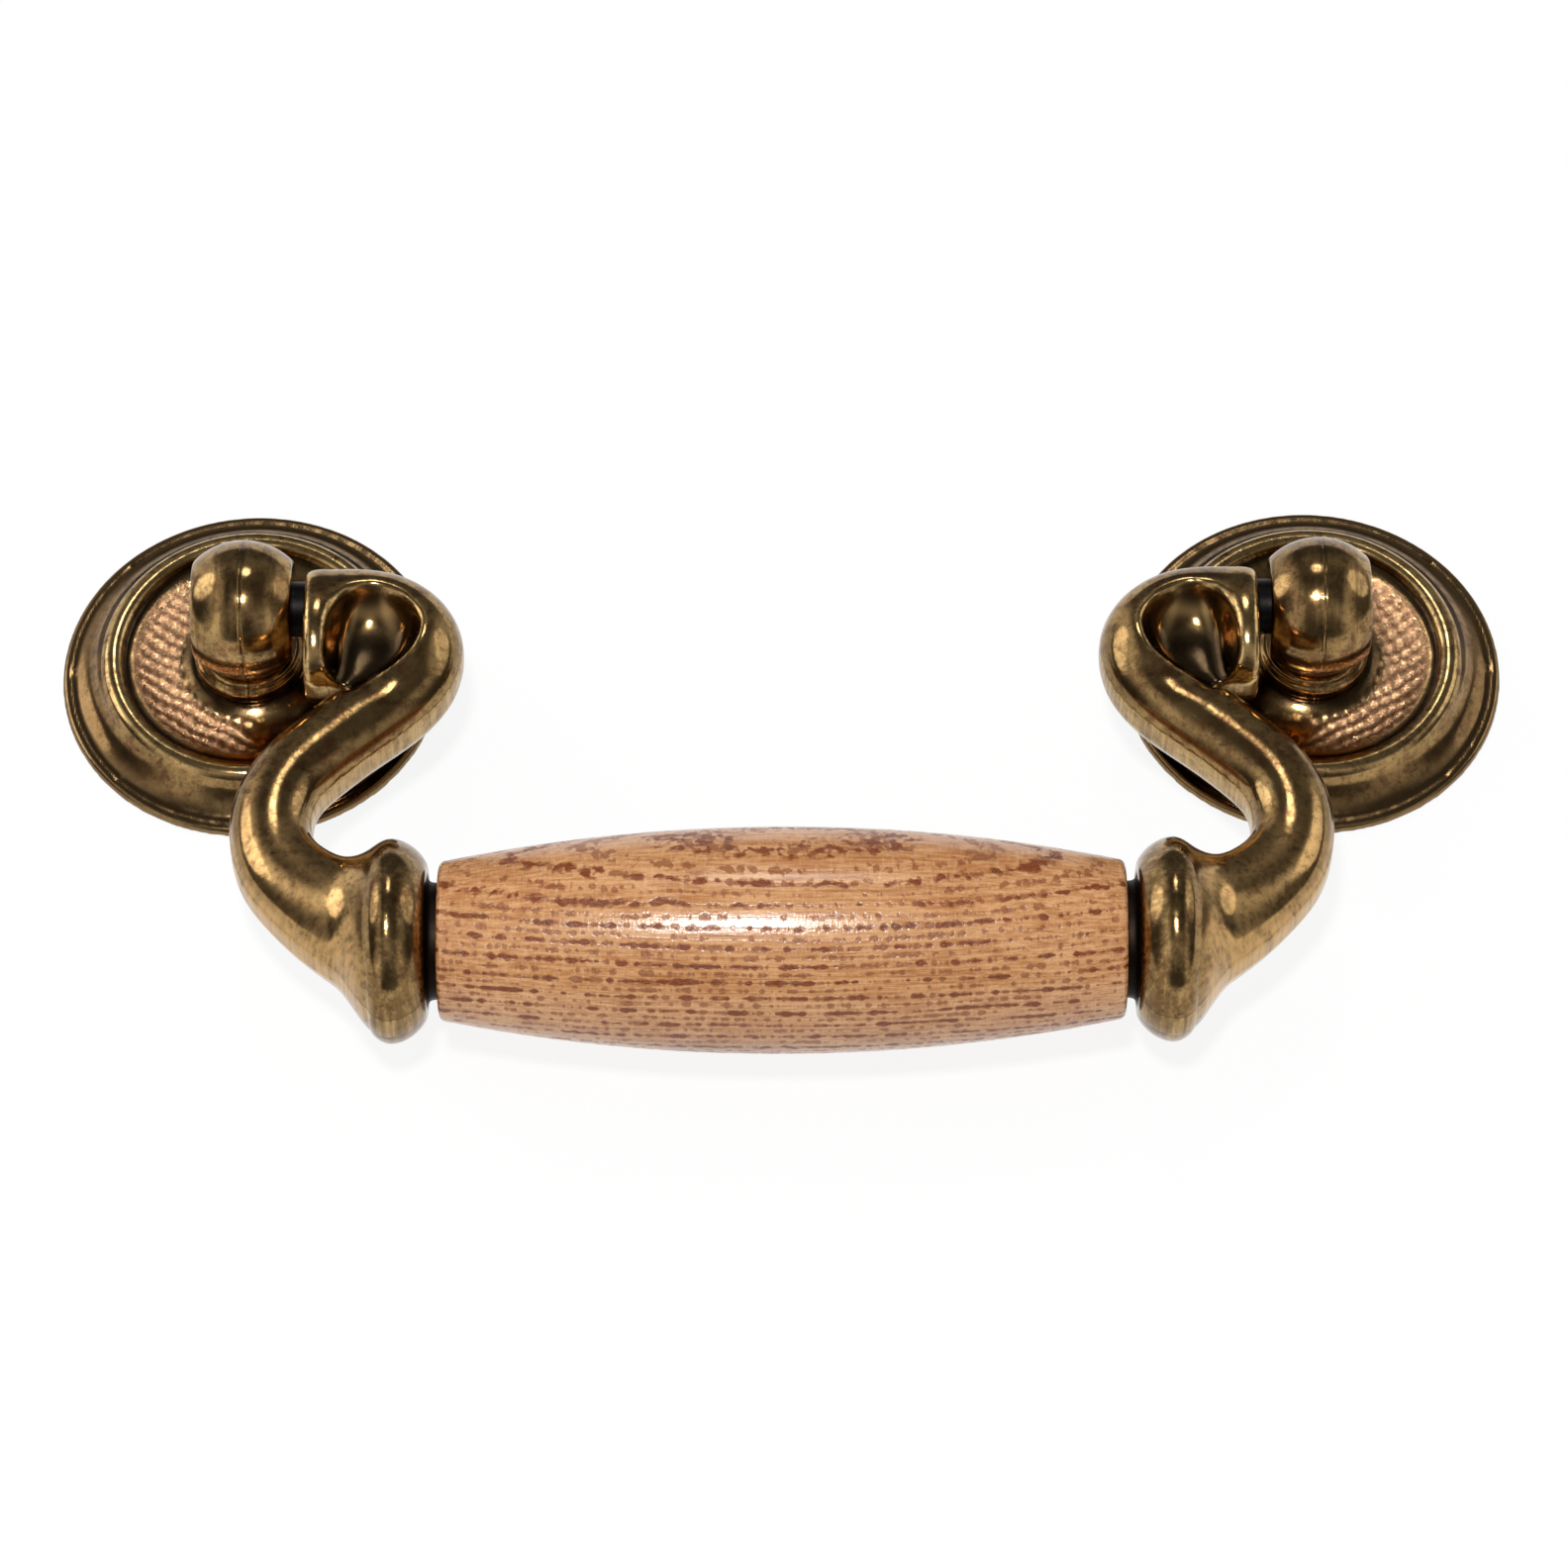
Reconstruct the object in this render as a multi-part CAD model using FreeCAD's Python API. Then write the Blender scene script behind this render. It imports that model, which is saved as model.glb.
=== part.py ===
"""Bail pull: dished rosettes, ball posts, scroll arms and a turned wood grip. Millimetres.

The drawer front is the plane Y = 0, the posts point to -Y and the bail hangs toward -Z.
"""
import FreeCAD
import Part
import math
import os

# Rosettes
SCREW_CENTRES = 88.9
ROSETTE_RADIUS = 15.9
RIM_HEIGHT = 0.95
RIM_WIDTH = 0.9
FOOT_WIDTH = 2.0
BEAD_RADIUS = 11.6
BEAD_HEIGHT = 3.95
BEAD_SPREAD = 0.85
BEAD_DROP = 0.65
STEP_RADIUS = 10.5
LEDGE_WIDTH = 0.7
LEDGE_HEIGHT = 3.1
DISH_SAG = 0.7
SEAT_HEIGHT = 3.0
ROSETTE_WALL = 1.1

# Posts
FLANGE_RADIUS = 4.6
FLANGE_TOP = 4.3
FLANGE_ROUND = 0.35
RING_RADIUS = 4.1
RING_TOP = 4.9
NECK_RADIUS = 3.2
BALL_RADIUS = 5.75
BALL_FLATS = 8.3
PIN_HEIGHT = 10.25
STEM_RADIUS = 3.3
STEM_CLEARANCE = 0.15
SCREW_HOLE_RADIUS = 1.75
SCREW_HOLE_DEPTH = 6.4

# Pivot pins
PIN_RADIUS = 2.3
PIN_RUNNING_CLEARANCE = 0.05
PIN_IN_ARM = 2.2
PIN_IN_POST = 6.2
PIN_END_CLEARANCE = 0.4
HEAD_GAP = 1.1

# Scroll arms
BAIL_DROP = 32.0
HEAD_LENGTH = 13.1
HEAD_RISE = 2.95
HEAD_FALL = 8.1
HEAD_HALF_DEPTH = 4.6
HEAD_EDGE = 0.3
ARM_HALF_WIDTH = 3.35
ARM_HALF_DEPTH = 3.6
ELBOW_BULGE = 2.1
LAND_HALF_WIDTH = 1.2
LAND_STEP = 0.18
WEB_THICKNESS = 1.4
ARM_REACH = 10.8
COLLAR_RADIUS = 8.3
COLLAR_LENGTH = 4.5
COLLAR_FACE_RADIUS = 6.2
COLLAR_BULGE = 0.45
COLLAR_CREST = 1.6
COLLAR_STEP = 2.1
MOUTH_RISE = 1.0
TRUMPET_OVERLAP = 0.5
SPIGOT_RADIUS = 4.7
SPIGOT_IN_GRIP = 3.0

# Grip and tie rod
GRIP_END_GAP = 0.95
GRIP_RADIUS = 9.1
GRIP_END_RADIUS = 6.45
GRIP_EDGE_ROUND = 0.6
GRIP_RUNNING_CLEARANCE = 0.06
COUNTERBORE_CLEARANCE = 0.4
ROD_RADIUS = 2.5
ROD_IN_ARM = 6.0
ROD_CLEARANCE = 0.5

POST_X = SCREW_CENTRES / 2
FACE_X = POST_X - BALL_FLATS / 2 - HEAD_GAP
COLLAR_FACE_X = FACE_X - ARM_REACH
GRIP_HALF = COLLAR_FACE_X - GRIP_END_GAP
SPIGOT_END_X = GRIP_HALF - SPIGOT_IN_GRIP
ROD_HALF = COLLAR_FACE_X + ROD_IN_ARM
OUT = FreeCAD.Vector(0, -1, 0)
ALONG = FreeCAD.Vector(1, 0, 0)


def profile_edges(steps):
    """Edges of a profile in (radius, height); each step is a line end or an arc's middle and end."""
    start = FreeCAD.Vector(steps[0][0][0], -steps[0][0][1], 0)
    edges = []
    for step in steps[1:]:
        ends = [FreeCAD.Vector(r, -h, 0) for r, h in step]
        if len(ends) == 1:
            edges.append(Part.makeLine(start, ends[0]))
        else:
            edges.append(Part.Arc(start, ends[0], ends[1]).toShape())
        start = ends[-1]
    return edges


def turned_on_post(steps):
    """Solid turned about the axis of a post that stands at the origin, from a closed (radius, height) profile."""
    face = Part.Face(Part.Wire(profile_edges(steps)))
    return face.revolve(FreeCAD.Vector(0, 0, 0), FreeCAD.Vector(0, 1, 0), 360)


def turned_on_grip(steps):
    """Solid turned about the grip's axis, from a closed (radius, distance along X) profile."""
    turned = turned_on_post(steps)
    turned.rotate(FreeCAD.Vector(0, 0, 0), FreeCAD.Vector(0, 0, 1), 90)
    turned.translate(FreeCAD.Vector(0, -PIN_HEIGHT, -BAIL_DROP))
    return turned


def bar(radius, x_from, x_to, z):
    """Round bar along X at the bail's depth."""
    foot = FreeCAD.Vector(min(x_from, x_to), -PIN_HEIGHT, z)
    return Part.makeCylinder(radius, abs(x_to - x_from), foot, ALONG)


def between(start, end, sag):
    """Middle point of an arc that bows away from its chord to the right of start-to-end."""
    dr = end[0] - start[0]
    dh = end[1] - start[1]
    length = math.hypot(dr, dh)
    return ((start[0] + end[0]) / 2 + sag * dh / length, (start[1] + end[1]) / 2 - sag * dr / length)


def make_rosette():
    """Pressed rosette with a rim, a cove, a bead ring, a step and a shallow dish with a flat seat."""
    hole = STEM_RADIUS + STEM_CLEARANCE
    rim_inner = (ROSETTE_RADIUS - RIM_WIDTH, RIM_HEIGHT - 0.15)
    bead_outer = (BEAD_RADIUS + BEAD_SPREAD, BEAD_HEIGHT - BEAD_DROP)
    bead_inner = (STEP_RADIUS + 0.15, BEAD_HEIGHT - BEAD_DROP / 2)
    ledge = (STEP_RADIUS - LEDGE_WIDTH, LEDGE_HEIGHT)
    seat = (FLANGE_RADIUS + 0.3, SEAT_HEIGHT)
    return turned_on_post([
        [(ROSETTE_RADIUS - FOOT_WIDTH, 0)],
        [(ROSETTE_RADIUS, 0)],
        [(ROSETTE_RADIUS, RIM_HEIGHT - RIM_WIDTH / 2)],
        [(ROSETTE_RADIUS - RIM_WIDTH * 0.4, RIM_HEIGHT), rim_inner],
        [between(rim_inner, bead_outer, -0.45), bead_outer],
        [(BEAD_RADIUS, BEAD_HEIGHT), bead_inner],
        [(STEP_RADIUS, LEDGE_HEIGHT)],
        [ledge],
        [between(ledge, seat, -DISH_SAG), seat],
        [(hole, SEAT_HEIGHT)],
        [(hole, SEAT_HEIGHT - ROSETTE_WALL)],
        [(seat[0] + ROSETTE_WALL, SEAT_HEIGHT - ROSETTE_WALL - DISH_SAG)],
        [(ledge[0], LEDGE_HEIGHT - ROSETTE_WALL)],
        [(BEAD_RADIUS, BEAD_HEIGHT - ROSETTE_WALL)],
        [(BEAD_RADIUS + 0.3, BEAD_HEIGHT - ROSETTE_WALL - 0.2)],
        [(ROSETTE_RADIUS - FOOT_WIDTH, 0)],
    ])


def make_post():
    """Right-hand ball post with side flats, a ringed flange, a stem, a pin socket and a screw hole."""
    neck_meets_ball = PIN_HEIGHT - math.sqrt(BALL_RADIUS ** 2 - NECK_RADIUS ** 2)
    ball_top = PIN_HEIGHT + BALL_RADIUS
    post = turned_on_post([
        [(0, 0)],
        [(STEM_RADIUS, 0)],
        [(STEM_RADIUS, SEAT_HEIGHT)],
        [(FLANGE_RADIUS, SEAT_HEIGHT)],
        [(FLANGE_RADIUS, FLANGE_TOP - FLANGE_ROUND)],
        [(FLANGE_RADIUS - FLANGE_ROUND * 0.3, FLANGE_TOP - FLANGE_ROUND * 0.3),
         (FLANGE_RADIUS - FLANGE_ROUND, FLANGE_TOP)],
        [(RING_RADIUS - 0.2, FLANGE_TOP)],
        [(RING_RADIUS, (FLANGE_TOP + RING_TOP) / 2), (RING_RADIUS - 0.2, RING_TOP)],
        [(NECK_RADIUS, RING_TOP)],
        [(NECK_RADIUS, neck_meets_ball)],
        [(BALL_RADIUS, PIN_HEIGHT), (0, ball_top)],
        [(0, 0)],
    ])
    base = Part.makeCylinder(FLANGE_RADIUS + 1, RING_TOP, FreeCAD.Vector(0, 0, 0), OUT)
    slab = Part.makeBox(BALL_FLATS, ball_top, 3 * BALL_RADIUS)
    slab.translate(FreeCAD.Vector(-BALL_FLATS / 2, -ball_top, -1.5 * BALL_RADIUS))
    post = post.common(base.fuse(slab))
    post.translate(FreeCAD.Vector(POST_X, 0, 0))
    inner_flat = POST_X - BALL_FLATS / 2
    socket = bar(PIN_RADIUS + PIN_RUNNING_CLEARANCE, inner_flat, inner_flat + PIN_IN_POST, 0)
    screw_hole = Part.makeCylinder(SCREW_HOLE_RADIUS, SCREW_HOLE_DEPTH,
                                   FreeCAD.Vector(POST_X, 0, 0), OUT)
    return post.cut(socket).cut(screw_hole)


def make_pin():
    """Right-hand pivot pin, pressed in the arm's head and running in the post's socket."""
    outer = POST_X - BALL_FLATS / 2 + PIN_IN_POST - PIN_END_CLEARANCE
    return bar(PIN_RADIUS, FACE_X - PIN_IN_ARM, outer, 0)


def head_point(along, up):
    """Point of the head from shares of its length and of its rise or fall, as (inward from the face, up)."""
    return (along * HEAD_LENGTH, up * (HEAD_RISE if up > 0 else HEAD_FALL))


def head_stations():
    """Sections of the head, fanned round the notch under it: centre, half-width vector and half depth.

    The first point of a pair runs over the head's top and round the scroll to the arm's lower side.
    """
    blend = (HEAD_HALF_DEPTH + ARM_HALF_DEPTH) / 2
    pairs = [
        (head_point(0, 0.88), head_point(0, -0.96), HEAD_HALF_DEPTH - HEAD_EDGE),
        (head_point(0.025, 0.93), head_point(0.025, -1), HEAD_HALF_DEPTH),
        (head_point(0.14, 1), head_point(0.12, -1), HEAD_HALF_DEPTH),
        (head_point(0.37, 1), head_point(0.23, -1.01), HEAD_HALF_DEPTH),
        (head_point(0.61, 0.78), head_point(0.275, -1.02), HEAD_HALF_DEPTH),
        (head_point(0.83, 0.14), head_point(0.295, -1.04), HEAD_HALF_DEPTH),
        (head_point(0.97, -0.30), head_point(0.30, -1.06), HEAD_HALF_DEPTH),
        (head_point(1, -0.69), head_point(0.298, -1.09), blend),
        (head_point(0.93, -1.06), head_point(0.267, -1.14), ARM_HALF_DEPTH),
        (head_point(0.78, -1.40), head_point(0.22, -1.19), ARM_HALF_DEPTH),
    ]
    stations = []
    for first, second, depth in pairs:
        centre = ((first[0] + second[0]) / 2, (first[1] + second[1]) / 2)
        reach = (first[0] - centre[0], first[1] - centre[1])
        stations.append((centre, reach, depth))
    return stations


def bar_stations(head_end):
    """Sections of the S-shaped bar and its trumpet, which turn from square to the path to square to the grip.

    The path leans out from the head to the elbow and runs back in to the collar, falling all the way.
    """
    start = ARM_REACH - COLLAR_LENGTH
    mouth = COLLAR_RADIUS - COLLAR_STEP
    mouth_down = BAIL_DROP - MOUTH_RISE
    lean = head_end[0] + ELBOW_BULGE
    run = start + ELBOW_BULGE
    fall = mouth_down + head_end[1]
    leaning = [(0.21, 0.061), (0.46, 0.152), (0.78, 0.287), (0.96, 0.425), (1, 0.576)]
    running = [(0.087, 0.71, 0.07, 0), (0.345, 0.838, 0.22, 0.1), (0.56, 0.908, 0.39, 0.25),
               (0.714, 0.947, 0.56, 0.5), (0.857, 0.979, 0.77, 0.75), (1, 1, 1, 1)]
    path = [((head_end[0] - out * lean, head_end[1] - down * fall), 0, 0) for out, down in leaning]
    for back, down, wide, square in running:
        path.append(((back * run - ELBOW_BULGE, head_end[1] - down * fall), wide, square))
    path.append(((start + TRUMPET_OVERLAP, -mouth_down), 1, 1))
    stations = []
    for i, (centre, wide, square) in enumerate(path):
        before = path[i - 1][0] if i else head_end
        after = path[i + 1][0] if i + 1 < len(path) else centre
        ds = after[0] - before[0]
        dw = (after[1] - before[1]) * (1 - square)
        length = math.hypot(ds, dw)
        half = ARM_HALF_WIDTH + wide * (mouth - ARM_HALF_WIDTH)
        depth = ARM_HALF_DEPTH + wide * (mouth - ARM_HALF_DEPTH)
        stations.append((centre, (-dw / length * half, ds / length * half), depth))
    return stations


def arm_section(station):
    """Closed section of the arm: a dome in front and behind, and a narrow raised land on both edges."""
    centre, reach, depth = station
    half = math.hypot(reach[0], reach[1])
    step = (half - LAND_STEP) / half
    land = LAND_HALF_WIDTH

    def at(share, out):
        s = centre[0] + reach[0] * share
        w = centre[1] + reach[1] * share
        return FreeCAD.Vector(FACE_X - s, -PIN_HEIGHT - out, w)

    def dome(sign):
        points = []
        for k in range(9):
            angle = math.pi * k / 8
            out = land + (depth - land) * math.sin(angle)
            points.append(at(sign * step * math.cos(angle), sign * out))
        curve = Part.BSplineCurve()
        curve.interpolate(points)
        return curve.toShape()

    corners = [at(1, -land), at(1, land), at(step, land), at(-step, land),
               at(-1, land), at(-1, -land), at(-step, -land), at(step, -land)]
    edges = [
        Part.makeLine(corners[0], corners[1]),
        Part.makeLine(corners[1], corners[2]),
        dome(1),
        Part.makeLine(corners[3], corners[4]),
        Part.makeLine(corners[4], corners[5]),
        Part.makeLine(corners[5], corners[6]),
        dome(-1),
        Part.makeLine(corners[7], corners[0]),
    ]
    return Part.Wire(edges)


def make_scoop():
    """Cutter for the hollow of the right-hand scroll: a drop-shaped bowl that opens into the notch."""
    rim = [head_point(0.45, -0.02), head_point(0.60, -0.14), head_point(0.72, -0.40), head_point(0.71, -0.66),
           head_point(0.61, -0.90), head_point(0.46, -1.08), head_point(0.30, -1.21), head_point(0.16, -1.22),
           head_point(0.14, -1.0), head_point(0.145, -0.72), head_point(0.165, -0.46), head_point(0.23, -0.20),
           head_point(0.33, -0.05)]
    middle = head_point(0.38, -0.75)
    web = WEB_THICKNESS / 2
    bowl = HEAD_HALF_DEPTH - web
    levels = [(1.04, HEAD_HALF_DEPTH + 1), (1.0, web + 0.75 * bowl), (0.93, web + 0.50 * bowl),
              (0.81, web + 0.29 * bowl), (0.64, web + 0.13 * bowl), (0.42, web + 0.035 * bowl), (0.2, web)]
    wires = []
    for share, out in levels:
        points = []
        for along, up in rim:
            s = middle[0] + (along - middle[0]) * share
            w = middle[1] + (up - middle[1]) * share
            points.append(FreeCAD.Vector(FACE_X - s, -PIN_HEIGHT - out, w))
        curve = Part.BSplineCurve()
        curve.interpolate(points, PeriodicFlag=True)
        wires.append(Part.Wire([curve.toShape()]))
    return Part.makeLoft(wires, True, False)


def make_arm():
    """Right-hand cast arm with its hollowed head, S-shaped bar, trumpet, collar and spigot."""
    stations = head_stations()
    stations = stations + bar_stations(stations[-1][0])
    arm = Part.makeLoft([arm_section(station) for station in stations], True, False)
    scoop = make_scoop()
    arm = arm.cut(scoop)
    arm = arm.cut(scoop.mirror(FreeCAD.Vector(0, -PIN_HEIGHT, 0), OUT))
    start = COLLAR_FACE_X + COLLAR_LENGTH
    foot = (COLLAR_RADIUS - 0.4 * COLLAR_STEP, start)
    crest = (COLLAR_RADIUS, start - COLLAR_CREST)
    face_edge = (COLLAR_FACE_RADIUS, COLLAR_FACE_X)
    collar = turned_on_grip([
        [(0, start)],
        [foot],
        [between(foot, crest, -COLLAR_BULGE / 2), crest],
        [between(crest, face_edge, -COLLAR_BULGE), face_edge],
        [(SPIGOT_RADIUS, COLLAR_FACE_X)],
        [(SPIGOT_RADIUS, SPIGOT_END_X)],
        [(0, SPIGOT_END_X)],
        [(0, start)],
    ])
    arm = arm.fuse(collar)
    pin_hole = bar(PIN_RADIUS, FACE_X - PIN_IN_ARM, FACE_X + 1, 0)
    rod_hole = bar(ROD_RADIUS, ROD_HALF, 0, -BAIL_DROP)
    return arm.cut(pin_hole).cut(rod_hole)


def make_grip():
    """Turned barrel, bored for the tie rod and counterbored for the spigots."""
    edge = GRIP_HALF - GRIP_EDGE_ROUND
    round_mid = GRIP_EDGE_ROUND * (1 - math.sqrt(0.5))
    bore = ROD_RADIUS + ROD_CLEARANCE
    counterbore = SPIGOT_RADIUS + GRIP_RUNNING_CLEARANCE
    floor = SPIGOT_END_X - COUNTERBORE_CLEARANCE
    return turned_on_grip([
        [(bore, -floor)],
        [(counterbore, -floor)],
        [(counterbore, -GRIP_HALF)],
        [(GRIP_END_RADIUS - GRIP_EDGE_ROUND, -GRIP_HALF)],
        [(GRIP_END_RADIUS - round_mid, -GRIP_HALF + round_mid), (GRIP_END_RADIUS, -edge)],
        [(GRIP_RADIUS, 0), (GRIP_END_RADIUS, edge)],
        [(GRIP_END_RADIUS - round_mid, GRIP_HALF - round_mid), (GRIP_END_RADIUS - GRIP_EDGE_ROUND, GRIP_HALF)],
        [(counterbore, GRIP_HALF)],
        [(counterbore, floor)],
        [(bore, floor)],
        [(bore, -floor)],
    ])


def main():
    """Builds every piece and writes one file for each; the left-hand pieces mirror the right-hand ones."""
    os.makedirs("parts", exist_ok=True)
    rosette = make_rosette()
    rosette.translate(FreeCAD.Vector(POST_X, 0, 0))
    pairs = {"rosette": rosette, "post": make_post(), "pivot_pin": make_pin(), "arm": make_arm()}
    pieces = {"wood_grip": make_grip(), "tie_rod": bar(ROD_RADIUS, -ROD_HALF, ROD_HALF, -BAIL_DROP)}
    for name, shape in pairs.items():
        pieces["right_" + name] = shape
        pieces["left_" + name] = shape.mirror(FreeCAD.Vector(0, 0, 0), ALONG)
    for name, shape in pieces.items():
        shape.Solids[0].exportStep("parts/" + name + ".step")


main()
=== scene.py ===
"""Looks of the bail pull: aged brass mounts and scroll arms, a lacquered oak grip and dark steel pins.

Lengths are in millimetres; Blender's own are in metres.
"""

import logging
import math
from dataclasses import dataclass
from enum import Enum
from typing import Any, Callable, Optional, Union

import bmesh
import bpy
import numpy as np
from mathutils import Matrix, Quaternion, Vector


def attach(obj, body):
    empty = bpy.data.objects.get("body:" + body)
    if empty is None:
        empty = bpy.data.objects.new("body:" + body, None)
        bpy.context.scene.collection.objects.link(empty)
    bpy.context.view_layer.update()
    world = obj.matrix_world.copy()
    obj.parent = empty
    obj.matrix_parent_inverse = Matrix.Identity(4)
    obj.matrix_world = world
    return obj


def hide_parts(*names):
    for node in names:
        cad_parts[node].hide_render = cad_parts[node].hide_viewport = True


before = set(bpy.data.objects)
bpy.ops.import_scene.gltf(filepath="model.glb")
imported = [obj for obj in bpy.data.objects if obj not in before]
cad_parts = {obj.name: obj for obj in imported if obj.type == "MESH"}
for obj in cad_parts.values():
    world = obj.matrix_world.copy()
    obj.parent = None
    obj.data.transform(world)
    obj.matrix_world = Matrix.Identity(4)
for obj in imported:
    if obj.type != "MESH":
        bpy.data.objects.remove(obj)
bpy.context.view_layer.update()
LOG = logging.getLogger("bail_pull")
MM = 0.001

Colour = tuple[float, float, float, float]
Place = tuple[float, float, float]
Range = tuple[float, float]
Shaping = Optional[Callable[[np.ndarray, np.ndarray], np.ndarray]]

SCREW_CENTRES = 88.9
PIN_HEIGHT = 10.25
BAIL_DROP = 32.0
GRIP_AXIS: Place = (0, -PIN_HEIGHT, -BAIL_DROP)
HAMMER_LEAN = 0.35
HAMMERED: Range = (0.5, 4.5)
WHITE: Colour = (1, 1, 1, 1)


class Side(Enum):
    """The two ends of the pull, with the sign of their X."""

    LEFT = -1
    RIGHT = 1

    @property
    def word(self) -> str:
        """The side's name as the nodes have it."""
        return self.name.lower()


class Axis(Enum):
    """The axes of a direction, with their numbers."""

    X = 0
    Y = 1
    Z = 2


def ramp(values: np.ndarray, low: float, high: float) -> np.ndarray:
    """Goes straight from 0 where the values are low to 1 where they are high."""
    return np.clip((values - low) / (high - low), 0, 1)


class Value:
    """A shader socket that takes part in Python arithmetic; each operation adds one Math node."""

    def __init__(self, graph: "Graph", socket: bpy.types.NodeSocket) -> None:
        """Wraps a socket.

        Args:
            graph: The graph that owns the socket.
            socket: An output socket of a node in that graph.
        """
        self.graph = graph
        self.socket = socket

    def math(self, operation: str, first: Any, second: Any = 0.0) -> "Value":
        """Adds a Math node.

        Args:
            operation: The node's operation.
            first: The first operand, a value or a number.
            second: The second operand.

        Returns:
            The node's result.
        """
        return self.graph.node("ShaderNodeMath", {"operation": operation}, {0: first, 1: second})

    def __add__(self, other: Any) -> "Value":
        """This value plus another."""
        return self.math("ADD", self, other)

    def __radd__(self, other: Any) -> "Value":
        """A number plus this value."""
        return self.math("ADD", other, self)

    def __sub__(self, other: Any) -> "Value":
        """This value minus another."""
        return self.math("SUBTRACT", self, other)

    def __rsub__(self, other: Any) -> "Value":
        """A number minus this value."""
        return self.math("SUBTRACT", other, self)

    def __mul__(self, other: Any) -> "Value":
        """This value times another."""
        return self.math("MULTIPLY", self, other)

    def __rmul__(self, other: Any) -> "Value":
        """A number times this value."""
        return self.math("MULTIPLY", other, self)

    def __truediv__(self, other: Any) -> "Value":
        """This value over another."""
        return self.math("DIVIDE", self, other)

    def __rtruediv__(self, other: Any) -> "Value":
        """A number over this value."""
        return self.math("DIVIDE", other, self)

    def __abs__(self) -> "Value":
        """The value without its sign."""
        return self.math("ABSOLUTE", self)

    def root(self) -> "Value":
        """The square root."""
        return self.math("SQRT", self)

    def fraction(self) -> "Value":
        """What is left over the whole number below."""
        return self.math("FRACT", self)

    def floor(self) -> "Value":
        """The whole number below."""
        return self.math("FLOOR", self)

    def least(self, other: Any) -> "Value":
        """The smaller of this value and another."""
        return self.math("MINIMUM", self, other)

    def most(self, other: Any) -> "Value":
        """The larger of this value and another."""
        return self.math("MAXIMUM", self, other)

    def step(self, low: float, high: float) -> "Value":
        """Eases from 0 to 1 as this value goes from low to high.

        Args:
            low: Where the result is 0.
            high: Where the result is 1, which may lie below low.

        Returns:
            The eased value.
        """
        ends = (low, high, 0.0, 1.0) if low < high else (high, low, 1.0, 0.0)
        return self.graph.node("ShaderNodeMapRange", {"interpolation_type": "SMOOTHSTEP"},
                               {0: self, 1: ends[0], 2: ends[1], 3: ends[2], 4: ends[3]})

    def near(self, centre: float, reach: float) -> "Value":
        """Is 1 where this value is at the centre, and eases to 0 at a distance of reach."""
        return abs(self - centre).step(reach, 0.0)


class Graph:
    """Makes the nodes of one material or of the world."""

    def __init__(self, tree: bpy.types.NodeTree) -> None:
        """Empties a node tree and keeps it.

        Args:
            tree: The tree to fill.
        """
        self.tree = tree
        tree.nodes.clear()

    def node(self, kind: str, settings: Optional[dict] = None, inputs: Optional[dict] = None,
             output: Union[int, str] = 0) -> Value:
        """Adds a node of any type.

        Args:
            kind: The node's type.
            settings: Attributes of the node, set first.
            inputs: Socket name or number to a number, a colour or a value.
            output: The name or number of the output to return.

        Returns:
            The chosen output.
        """
        made = self.tree.nodes.new(kind)
        for name, setting in (settings or {}).items():
            setattr(made, name, setting)
        for key, given in (inputs or {}).items():
            if isinstance(given, Value):
                self.tree.links.new(given.socket, made.inputs[key])
            else:
                made.inputs[key].default_value = given
        return Value(self, made.outputs[output] if len(made.outputs) else None)

    def place(self, scale: Place = (1, 1, 1), start: Place = (0, 0, 0)) -> Value:
        """Object coordinates in millimetres, moved and stretched.

        Args:
            scale: Stretch along each axis.
            start: The point that becomes zero.

        Returns:
            The coordinates as a vector.
        """
        seen = self.node("ShaderNodeTexCoord", output="Object")
        moved = self.node("ShaderNodeVectorMath", {"operation": "MULTIPLY_ADD"},
                          {0: seen, 1: (1 / MM, 1 / MM, 1 / MM), 2: tuple(-v for v in start)})
        if scale == (1, 1, 1):
            return moved
        return self.node("ShaderNodeVectorMath", {"operation": "MULTIPLY"}, {0: moved, 1: scale})

    def split(self, vector: Value) -> tuple[Value, Value, Value]:
        """The three numbers of a vector."""
        parts = self.node("ShaderNodeSeparateXYZ", inputs={0: vector}).socket.node
        return tuple(Value(self, parts.outputs[axis.value]) for axis in Axis)

    def noise(self, vector: Value, scale: float, detail: float, rough: float = 0.5,
              warp: float = 0.0) -> Value:
        """Cloudy noise from about 0 to 1.

        Args:
            vector: Coordinates in millimetres.
            scale: Cells in a millimetre.
            detail: How many finer layers are added.
            rough: How strong the finer layers are.
            warp: How far the noise is bent by itself.

        Returns:
            The noise's value.
        """
        return self.node("ShaderNodeTexNoise", inputs={"Vector": vector, "Scale": scale, "Detail": detail,
                                                       "Roughness": rough, "Distortion": warp})

    def blend(self, share: Any, first: Any, second: Any) -> Value:
        """A colour between two colours."""
        return self.node("ShaderNodeMix", {"data_type": "RGBA"}, {0: share, 6: first, 7: second}, 2)

    def join(self, x: Any, y: Any, z: Any) -> Value:
        """A vector of three numbers."""
        return self.node("ShaderNodeCombineXYZ", inputs={0: x, 1: y, 2: z})

    def attribute(self, name: str) -> Value:
        """A number that the piece's mesh holds at each point."""
        return self.node("ShaderNodeAttribute", {"attribute_name": name}, output="Fac")


def new_material(name: str) -> tuple[bpy.types.Material, Graph]:
    """A new material and the graph of its nodes.

    Args:
        name: The material's name.

    Returns:
        The material and its graph.
    """
    made = bpy.data.materials.new(name)
    made.use_nodes = True
    return made, Graph(made.node_tree)


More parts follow.
